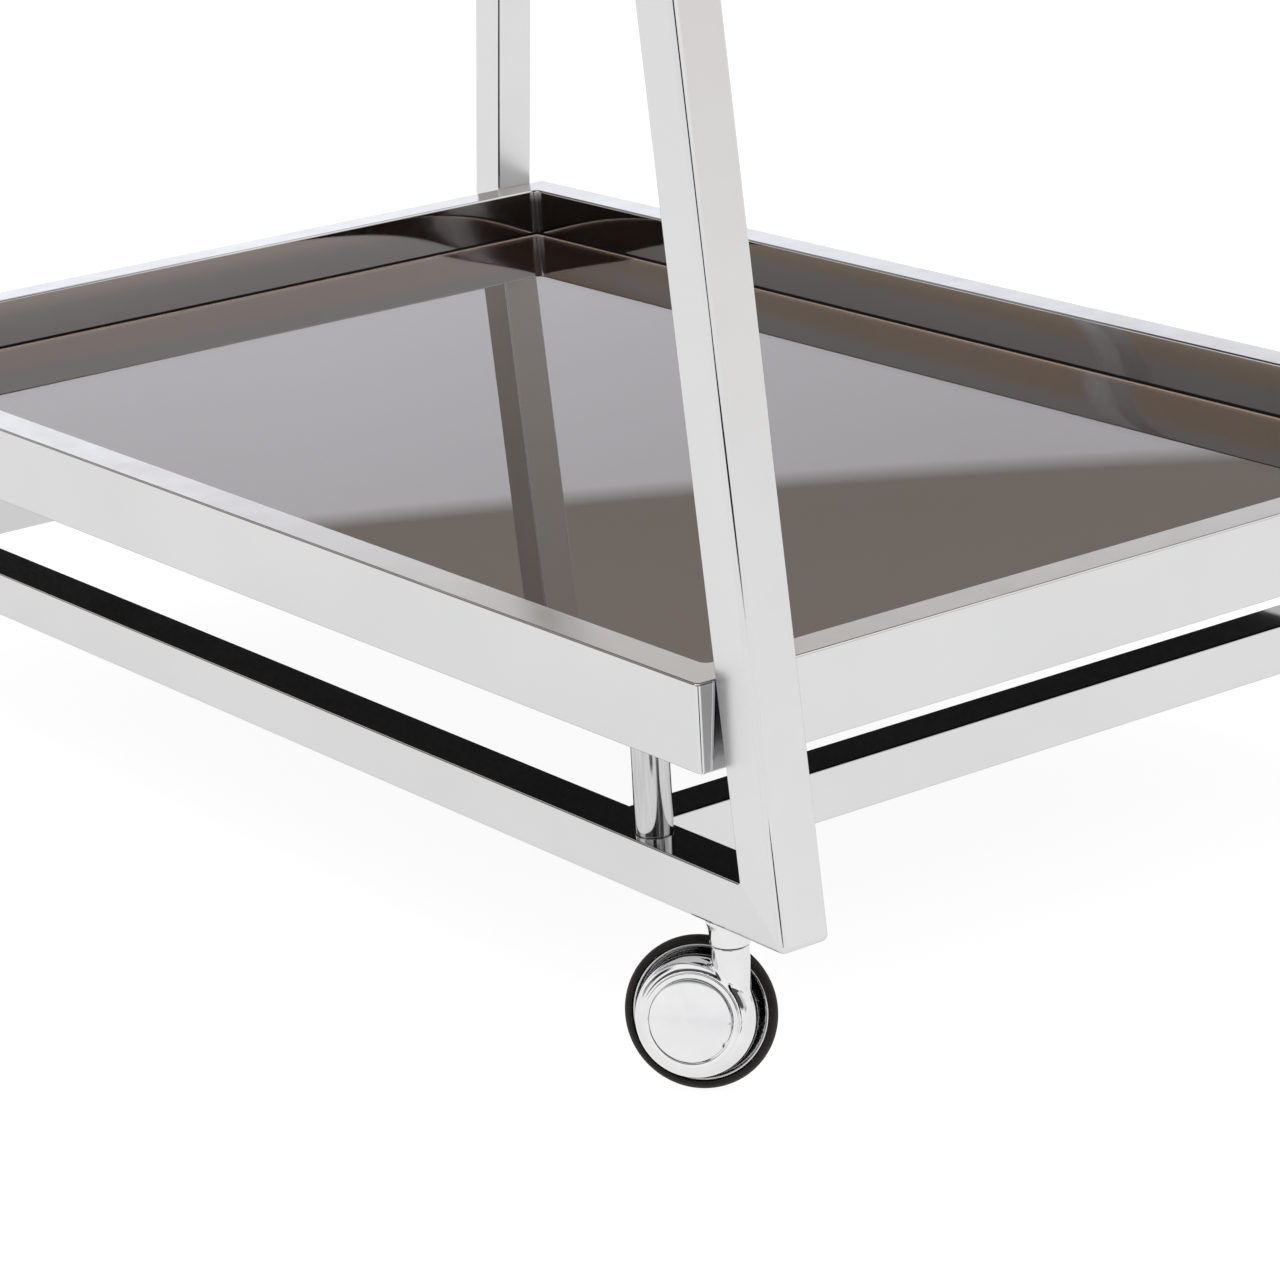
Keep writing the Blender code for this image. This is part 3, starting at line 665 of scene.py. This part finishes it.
def make_posts(steel):
    """Round posts, with a fine seam where they stand on the rail and meet the tray."""
    lip, root_inset, root_reach, steps = 0.35, 0.7, 0.25, 4  # millimetres, and facets of the lip
    for tier in TIERS:
        for place in PLACES:
            node = "{}_post_{}".format(tier, place)
            low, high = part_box(node)
            middle = (low + high) / 2
            radius = (high.y - low.y) / 2 / MM
            half = (high.z - low.z) / 2 / MM
            root = radius - root_inset
            top = [(0, half + root_reach), (root, half + root_reach), (root, half)]
            top += arc(radius - lip, half - lip, lip, lip, 90, 0, steps)
            mesh = turned(node + "_turned", top + [(r, -h) for r, h in reversed(top)])
            post = link(node + "_turned", mesh, steel, "frame", Matrix.Translation(middle))
            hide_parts(node)


# ---- trays ----------------------------------------------------------------------------------------
def rounded_rectangle(half_x, half_y, radius):
    """Points round a rectangle with rounded corners: (x, y, heading of the outward normal)."""
    points = []
    for quarter, (sx, sy) in enumerate(((1, 1), (-1, 1), (-1, -1), (1, -1))):
        for i in range(CORNER_STEPS + 1):
            turn = math.pi / 2 * (quarter + i / CORNER_STEPS)
            points.append((sx * (half_x - radius) + radius * math.cos(turn),
                           sy * (half_y - radius) + radius * math.sin(turn), turn))
    return points


def wall_tilt(z):
    """How far the tray's inner wall leans out, in radians, at z millimetres above the rim's top.

    The z of the wall is never above zero. The wall turns out more and more towards the rim's edge.
    """
    return math.radians(-1.2 + 2.2 * math.exp((z + 4.3) / 8.0))


def rim_profile(depth, glass_level):
    """The rim tube's section in millimetres: (distance out from the inner wall, height, normal's angle)."""
    width, r = RIM_WIDTH / MM, RIM_EDGE
    wall_steps, tuck = 24, 0.6

    def bend(centre_out, centre_height, start, stop):
        angles = [start + (stop - start) * i / EDGE_STEPS for i in range(EDGE_STEPS + 1)]
        return [(centre_out + r * math.cos(t), centre_height + r * math.sin(t), t) for t in angles]

    wall = []
    out = 0.0
    heights = [glass_level - (glass_level + r) * i / wall_steps for i in range(wall_steps + 1)]
    for i, z in enumerate(heights):
        if i:
            out += math.tan(wall_tilt((z + heights[i - 1]) / 2)) * (z - heights[i - 1])
        wall.append((out, z, math.pi - wall_tilt(z)))
    foot = bend(r, r - depth, math.pi, math.pi * 1.5) + bend(width - r, r - depth, -math.pi / 2, 0)
    top = bend(width - r, -r, 0, math.pi / 2) + bend(out + r, -r, math.pi / 2, math.pi - wall_tilt(-r))[:-1]
    return foot + top + wall[::-1] + [(0.0, glass_level - tuck, math.pi)]


def make_rim(tier, steel, top_finish):
    """The rim as one polished ring: crowned inner walls, soft inside corners, tight outside ones."""
    width = RIM_WIDTH / MM
    verts, normals = [], []
    profile = rim_profile((RIM_TOP[tier] - RIM_BOTTOM[tier]) / MM, (GLASS_TOP[tier] - RIM_TOP[tier]) / MM)
    for out, height, angle in profile:
        corner = INNER_CORNER + (OUTER_CORNER - INNER_CORNER) * min(max(out / width, 0.0), 1.0)
        half_x = TRAY_X[tier] - RIM_WIDTH + out * MM
        half_y = TRAY_Y - RIM_WIDTH + out * MM
        for x, y, turn in rounded_rectangle(half_x, half_y, corner):
            verts.append((x, y, RIM_TOP[tier] + height * MM))
            level = math.cos(angle)
            normals.append((level * math.cos(turn), level * math.sin(turn), math.sin(angle)))
    around = len(verts) // len(profile)
    faces = []
    for j in range(len(profile)):
        a, b = j * around, (j + 1) % len(profile) * around
        for i in range(around):
            k = (i + 1) % around
            faces.append((a + i, a + k, b + k, b + i))
    mesh = bpy.data.meshes.new(tier + "_tray_rim")
    mesh.from_pydata(verts, [], faces)
    if mesh.polygons[0].normal.dot(Vector(normals[0])) < 0:
        mesh.flip_normals()
    shade_smooth(mesh)
    for polygon in mesh.polygons:
        polygon.material_index = int(polygon.normal.z > 0.99)
    mesh.normals_split_custom_set_from_vertices(normals)
    mesh.materials.append(steel)
    mesh.materials.append(top_finish)
    rim = link(tier + "_tray_rim", mesh, steel, "frame")
    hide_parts(*("{}_rim_{}".format(tier, part) for part in (*SIDES, *ENDS)))


def tray_outline(tier, inset):
    """The tray's inner wall drawn in by an inset."""
    inside = RIM_WIDTH + inset
    return rounded_rectangle(TRAY_X[tier] - inside, TRAY_Y - inside, INNER_CORNER - inset)


def ring_of(bm, tier, inset, z):
    return [bm.verts.new((x, y, z)) for x, y, _ in tray_outline(tier, inset)]


def make_glass(tier, glass, edge):
    """A plate with a ground arris, a little smaller than its recess."""
    low, high, side = GLASS_BOTTOM[tier], GLASS_TOP[tier], GLASS_MARGIN
    section = [(side + GLASS_ARRIS, high), (side, high - GLASS_ARRIS),
               (side, low + GLASS_ARRIS), (side + GLASS_ARRIS, low)]
    bm = bmesh.new()
    rings = [ring_of(bm, tier, inset, z) for inset, z in section]
    bm.faces.new(rings[0])
    bm.faces.new(reversed(rings[3]))
    bridge(bm, rings[0], rings[1])
    for face in bridge(bm, rings[1], rings[2]):
        face.material_index = 1
    bridge(bm, rings[2], rings[3])
    mesh = finish_bmesh(bm, tier + "_tray_glass")
    mesh.materials.append(glass)
    mesh.materials.append(edge)
    mesh.set_sharp_from_angle(angle=math.radians(30))
    plate = link(tier + "_tray_glass", mesh, glass, "frame")
    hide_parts(tier + "_glass")


def make_seal(tier, sealant):
    """A bead of sealant between the glass and the rim, drawn up to the rim by a hollow curve. Its black
    paints the shade in the gap.
    """
    inner, outer, steps = GLASS_MARGIN - SEAL_TO_GLASS, SEAL_TO_RIM, 6
    low, high = GLASS_BOTTOM[tier] + GLASS_ARRIS, GLASS_TOP[tier] + SEAL_RISE
    fall = high - (GLASS_TOP[tier] - GLASS_ARRIS)
    section = [(inner, low), (outer, low)]
    for t in (i / steps for i in range(steps + 1)):
        section.append((outer + (inner - outer) * t, high - fall * (1 - (1 - t) ** SEAL_HOLLOW)))
    bm = bmesh.new()
    rings = [ring_of(bm, tier, inset, z) for inset, z in section]
    for i in range(len(rings)):
        bridge(bm, rings[i - 1], rings[i])
    mesh = finish_bmesh(bm, tier + "_glass_seal")
    mesh.set_sharp_from_angle(angle=math.radians(40))
    link(tier + "_glass_seal", mesh, sealant, "frame")


# ---- casters --------------------------------------------------------------------------------------
# Sizes in millimetres. In the axle's frame, heights run along the axle from the wheel's middle plane.
NECK_TOP, NECK_R = 68.8, 8.3
NECK_START = 3.0            # the neck starts this far above the wheel's centre, inside the drum
HOOD_R = 27.0
HOOD_EDGE = -0.2            # the hood's open edge
SHOULDER_R, SHOULDER_A = 21.3, 8.5    # where the drum's edge starts to round off
SHOULDER_DEPTH = 11.8
FACE_R, FACE_A = 21.0, 21.2
SEAT_R = 19.9               # recess in the casting, hidden under the face ring
CAVITY_R, CAVITY_A = 24.5, 15.4
BOSS_R, BOSS_FOOT = 6.2, 3.5          # boss inside the hood that holds the axle
SWEEP_R, SWEEP_A = 35.2, 4.7          # room for the turning tyre
CAP_R, CAP_SEAT = 18.2, 18.6
CAP_RISE, CAP_CROWN = 0.65, 0.55      # middle of the cover over the hood's face, and its fall to the edge
CAP_SHIFT = -0.34           # the cover sits a little to one side in its recess
RECESS_GAP = 0.42           # groove round the cover
NOTCH_ANGLE, NOTCH_HALF, NOTCH_DEPTH = -33, 5, 1.0  # degrees, degrees, millimetres
NOTCH_REACH = 1.5           # the cover's rim gives way to the notch over this width
WHEEL_R = 30.4
TYRE_R, TYRE_HALF = 33.85, 3.75
TYRE_BOTTOM = 0.93          # half width of the tyre at its seat, as a part of the full half width
STEM_R, STEM_TOP = 5.5, 100.0
COLLAR_R, BRIM_R = 9.0, 10.6          # the collar at its foot and at the rail
JOINT_GAP = 0.75            # open joint line under the collar
GRID = 0.8                  # cell of the hood's mesh
GRID_MARGIN = 1.5
SLIDES = 5                  # how often its vertices are slid onto the surface


def smooth_max(a, b, k):
    """The larger of two fields, with a fillet of about k where they meet."""
    h = np.clip(0.5 + 0.5 * (a - b) / k, 0, 1)
    return b + (a - b) * h + k * h * (1 - h)


def smooth_min(a, b, k):
    return -smooth_max(-a, -b, k)


class Hood:
    """The hood casting as a smooth implicit surface in the swivel's frame, in millimetres."""

    def __init__(self, axle):
        place = np.array(axle, float)
        self.turn = place[:3, :3].T
        self.centre = place[:3, 3] / MM

    def field(self, p):
        """Below zero inside the casting."""
        local = (p - self.centre) @ self.turn.T
        rho = np.hypot(local[:, 0], local[:, 1])
        along = local[:, 2]
        u = np.maximum(rho - SHOULDER_R, 0) / (HOOD_R - SHOULDER_R)
        v = np.maximum(along - SHOULDER_A, 0) / SHOULDER_DEPTH
        drum = (np.sqrt(u * u + v * v + 1e-9) - 1) * (HOOD_R - SHOULDER_R)
        drum = smooth_max(drum, HOOD_EDGE - along, 0.6)
        neck = np.hypot(p[:, 0], p[:, 1]) - NECK_R
        neck = smooth_max(neck, p[:, 2] - NECK_TOP, 0.5)
        neck = smooth_max(neck, self.centre[2] + NECK_START - p[:, 2], 0.5)
        sweep = smooth_max(along - SWEEP_A, rho - SWEEP_R, 0.6)
        neck = smooth_max(neck, -sweep, 0.6)
        body = smooth_min(drum, neck, 0.9)
        seat = smooth_max(rho - SEAT_R, CAP_SEAT - along, 0.2)
        body = smooth_max(body, -seat, 0.2)
        cavity = smooth_max(rho - CAVITY_R, along - CAVITY_A, 2.0)
        boss = smooth_max(rho - BOSS_R, BOSS_FOOT - along, 0.6)
        cavity = smooth_max(cavity, -boss, 0.6)
        return smooth_max(body, -cavity, 0.4)

    def slope(self, p, h=0.05):
        """Gradient of the field, by differences over h to either side."""
        out = np.empty_like(p)
        for axis in range(3):
            step = np.zeros(3)
            step[axis] = h
            out[:, axis] = (self.field(p + step) - self.field(p - step)) / (2 * h)
        return out


def surface_net(shape, low, high, cell):
    """Quads on the zero level of a field, with each vertex then slid exactly onto the surface."""
    axes = [np.arange(low[i], high[i] + cell, cell) for i in range(3)]
    size = [len(axis) for axis in axes]
    points = np.stack(np.meshgrid(*axes, indexing="ij"), -1).reshape(-1, 3)
    values = shape.field(points).reshape(size)
    inside = values < 0
    cells = [n - 1 for n in size]
    total = np.zeros(cells + [3])
    count = np.zeros(cells)
    corner = np.stack(np.meshgrid(*[axes[i][:-1] for i in range(3)], indexing="ij"), -1)
    offsets = [(i, j, k) for i in (0, 1) for j in (0, 1) for k in (0, 1)]

    def at(grid, o):
        return grid[o[0]:o[0] + cells[0], o[1]:o[1] + cells[1], o[2]:o[2] + cells[2]]

    for o in offsets:
        for axis in range(3):
            if o[axis]:
                continue
            q = tuple(o[i] + (i == axis) for i in range(3))
            a, b = at(values, o), at(values, q)
            cross = at(inside, o) != at(inside, q)
            t = np.where(cross, a / np.where(cross, a - b, 1), 0)
            place = corner + np.array(o) * cell
            place[..., axis] += t * cell
            total += place * cross[..., None]
            count += cross
    active = count > 0
    index = -np.ones(cells, int)
    index[active] = np.arange(active.sum())
    verts = total[active] / count[active][:, None]
    quads = []
    for axis in range(3):
        u, v = (axis + 1) % 3, (axis + 2) % 3
        first = [slice(None)] * 3
        last = [slice(None)] * 3
        first[axis] = slice(0, -1)
        last[axis] = slice(1, None)
        change = inside[tuple(first)] != inside[tuple(last)]
        where = np.argwhere(change)
        where = where[(where[:, [u, v]] > 0).all(1) & (where[:, u] < cells[u]) & (where[:, v] < cells[v])]
        near = []
        for du, dv in ((-1, -1), (0, -1), (0, 0), (-1, 0)):
            q = where.copy()
            q[:, u] += du
            q[:, v] += dv
            near.append(index[q[:, 0], q[:, 1], q[:, 2]])
        quad = np.stack(near, 1)
        flip = ~inside[tuple(where.T)]
        quad[flip] = quad[flip][:, ::-1]
        quads.append(quad)
    for _ in range(SLIDES):
        gradient = shape.slope(verts)
        square = np.maximum((gradient ** 2).sum(1), 0.05)  # so that no flat spot throws a vertex far
        step = shape.field(verts)[:, None] * gradient / square[:, None]
        verts = verts - np.clip(step, -cell / 2, cell / 2)
    return verts, np.concatenate(quads)


def hood_mesh(axle):
    """The hood's mesh in the swivel's frame, with normals taken from the surface itself."""
    shape = Hood(axle)
    reach = HOOD_R + GRID_MARGIN
    low = np.minimum(shape.centre - reach, -NECK_R - GRID_MARGIN)
    high = np.maximum(shape.centre + reach, NECK_R + GRID_MARGIN)
    high[2] = NECK_TOP + GRID_MARGIN
    verts, quads = surface_net(shape, low, high, GRID)
    mesh = bpy.data.meshes.new("hood_casting")
    mesh.from_pydata((verts * MM).tolist(), [], quads.tolist())
    mesh.validate()
    normals = shape.slope(np.array([v.co for v in mesh.vertices]) / MM)
    normals /= np.linalg.norm(normals, axis=1)[:, None]
    shade_smooth(mesh)
    mesh.normals_split_custom_set_from_vertices(normals.tolist())
    return mesh


def face_ring_profile():
    """The raised face of the hood: a flat ring with a rounded edge and a groove inside it."""
    inner, lip, edge = CAP_R + RECESS_GAP, 0.25, 0.55
    inside = [(inner, CAP_SEAT), (inner, FACE_A - lip)] + arc(inner + lip, FACE_A - lip, lip, lip, 180, 90, 3)
    outside = arc(FACE_R - edge, FACE_A - edge, edge, edge, 90, 0, 5)
    return inside + outside + [(FACE_R, FACE_A - 1.2), (FACE_R - 0.6, CAP_SEAT)]


def cap_profile():
    """The cover in the hood's face, slightly crowned."""
    edge, back = 0.5, CAP_SEAT + 0.3
    flat = CAP_R - edge
    crown = [(r, FACE_A + CAP_RISE - CAP_CROWN * (r / flat) ** 2) for r in np.linspace(0, flat, 9)]
    rim = arc(flat, FACE_A + CAP_RISE - CAP_CROWN - edge, edge, edge, 90, 0, 5)
    return crown + rim[1:] + [(CAP_R, back), (0, back)]


def wheel_profile():
    """A spun wheel: a bright rolled lip, a deep dish towards the hood and a domed back with a hub cap."""
    bore, hub_r, hub_top, hub_floor, fillet = 3.3, 6.5, 1.6, -9.9, 0.4
    dish_r, dish_rim, dish_depth = 9.5, WHEEL_R - 2.3, 9.3
    lip_half = 0.75
    hub = [(0, hub_floor), (bore, hub_floor), (bore, hub_top)]
    hub += arc(hub_r - fillet, hub_top, fillet, fillet, 90, 0, 3) + [(hub_r, -8.0), (7.2, -8.9)]
    dish = arc(dish_r, 0.2, dish_rim - dish_r, dish_depth, -90, 0, 16)
    lip = arc(WHEEL_R - lip_half, 0.85, lip_half, 0.7, 180, 0, 10) + [(WHEEL_R, -TYRE_HALF)]
    back = arc(8.0, -TYRE_HALF, WHEEL_R - 8.2, 7.6, 0, -74, 12) + [(8.9, -11.4)]
    hub_cap = arc(0, -11.7, 8.6, 1.5, 0, -90, 6)
    return hub + dish + lip + back + hub_cap


def tyre_profile():
    """A narrow solid tyre with rounded shoulders and a faint mould line round its crown."""
    seat = WHEEL_R + 0.05
    side = arc(seat, 0, TYRE_R - seat, TYRE_HALF, 74, 2.5, 12)
    half = [(seat, TYRE_HALF * TYRE_BOTTOM)] + side + [(TYRE_R + 0.05, 0.12)]
    return half + [(r, -h) for r, h in reversed(half)]


def collar_profile(rail_bottom):
    """The socket's collar under the rail: flared, with a rolled foot above the open joint line."""
    top, foot = rail_bottom / MM - 0.05, NECK_TOP + JOINT_GAP
    bore, roll, brim = STEM_R + 0.3, 0.3, 0.9
    flare = arc(COLLAR_R + 4.0, foot + 3.0, 4.0, 9.0, 180, 128, 8)
    upper = [(bore, top), (BRIM_R, top), (BRIM_R, top - brim)]
    upper += [(r, h) for r, h in reversed(flare) if h < top - 1.2]
    return upper + arc(COLLAR_R - roll, foot + roll, 0.35, roll, 0, -90, 4) + [(bore, foot)]


def stem_profile():
    """The stem that turns in the socket, with a chamfered top."""
    chamfer, foot = 0.5, NECK_TOP - 2
    tip = [(0, STEM_TOP), (STEM_R - chamfer, STEM_TOP), (STEM_R, STEM_TOP - chamfer)]
    return tip + [(STEM_R, foot), (0, foot)]


def caster_frames(joints, place):
    """Matrices of the swivel's frame on the floor, and of the axle's frame in the world."""
    swivel = joints["swivel_" + place]
    spin = joints["spin_" + place]
    vertical = Vector((0, 0, 1))
    axis = Vector(spin["axis"]).normalized()
    level = Vector((axis.x, axis.y, 0)).normalized()
    stand = Matrix((level, vertical.cross(level), vertical)).transposed().to_4x4()
    stand.translation = Vector((swivel["pos_m"][0], swivel["pos_m"][1], 0))
    up = (vertical - axis * axis.z).normalized()
    axle = Matrix((up.cross(axis), up, axis)).transposed().to_4x4()
    axle.translation = Vector(spin["pos_m"])
    return stand, axle


def cap_mesh():
    """The cover, with a small notch at its edge for prising it off."""
    mesh = turned("hood_cap", cap_profile(), 180)
    for vert in mesh.vertices:
        radius = math.hypot(vert.co.x, vert.co.y)
        off = abs(math.degrees(math.atan2(vert.co.y, vert.co.x)) - NOTCH_ANGLE)
        if radius > (CAP_R - NOTCH_REACH) * MM and off < NOTCH_HALF:
            pull = 1 - NOTCH_DEPTH * MM / radius * (1 - (off / NOTCH_HALF) ** 2)
            vert.co.x *= pull
            vert.co.y *= pull
    return mesh


def make_casters(chrome, wheel_metal, rubber, axle_steel):
    """Four casters from one set of meshes: the axle stands the same way in each swivel's frame."""
    joints = {j["name"]: j for j in frame["joints"]}
    stand, axle = caster_frames(joints, PLACES[0])
    meshes = {
        "hood": hood_mesh(stand.inverted() @ axle),
        "face": turned("hood_face", face_ring_profile(), 128),
        "cap": cap_mesh(),
        "stem": turned("hood_stem", stem_profile(), 48),
        "wheel": turned("wheel_spun", wheel_profile(), 128),
        "tyre": turned("tyre_moulded", tyre_profile(), 160, closed=True),
        "collar": turned("socket_collar", collar_profile(RAIL_LOW.z), 96, closed=True),
    }
    for place in PLACES:
        stand, axle = caster_frames(joints, place)
        collar = link("collar_" + place, meshes["collar"], chrome, "frame", stand)
        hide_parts("socket_" + place)
        swivel = "swivel_" + place
        hood = link("hood_casting_" + place, meshes["hood"], chrome, swivel, stand)
        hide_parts("hood_" + place)
        link("hood_stem_" + place, meshes["stem"], axle_steel, swivel, stand)
        link("hood_face_" + place, meshes["face"], chrome, swivel, axle)
        seat = axle @ Matrix.Translation((CAP_SHIFT * MM, 0, 0))
        cap = link("hood_cap_" + place, meshes["cap"], chrome, swivel, seat)
        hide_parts("cap_" + place)
        spinning = "wheel_" + place
        wheel = link("wheel_spun_" + place, meshes["wheel"], wheel_metal, spinning, axle)
        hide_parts("wheel_" + place)
        tyre = link("tyre_moulded_" + place, meshes["tyre"], rubber, spinning, axle)
        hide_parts("tyre_" + place)


def keep_node(node, material):
    """A CAD node whose shape is right gets only a better material."""
    piece = frame["nodes"][node]
    piece.data.materials.clear()
    piece.data.materials.append(material)


make_camera()
make_floor()
make_studio()
make_softbox()
make_cards()
bpy.context.scene.view_settings.view_transform = "Standard"

steel = polished_steel()
make_frame_loop(steel, satin_steel())
make_bars(steel)
make_posts(drawn_steel())
worn_top = top_steel()
glass, glass_edge, lacquer, sealant = smoked_glass(), ground_edge_painted_glow(), black_lacquer(), sealant_painted_gap_shade()
for tier_name in TIERS:
    make_rim(tier_name, steel, worn_top)
    make_glass(tier_name, glass, glass_edge)
    make_seal(tier_name, sealant)
    keep_node(tier_name + "_base_panel", lacquer)
axle_metal = turned_steel()
make_casters(bright_chrome(), pressed_wheel(), tyre_rubber(), axle_metal)
for place_name in PLACES:
    keep_node("axle_" + place_name, axle_metal)

bpy.context.view_layer.update()
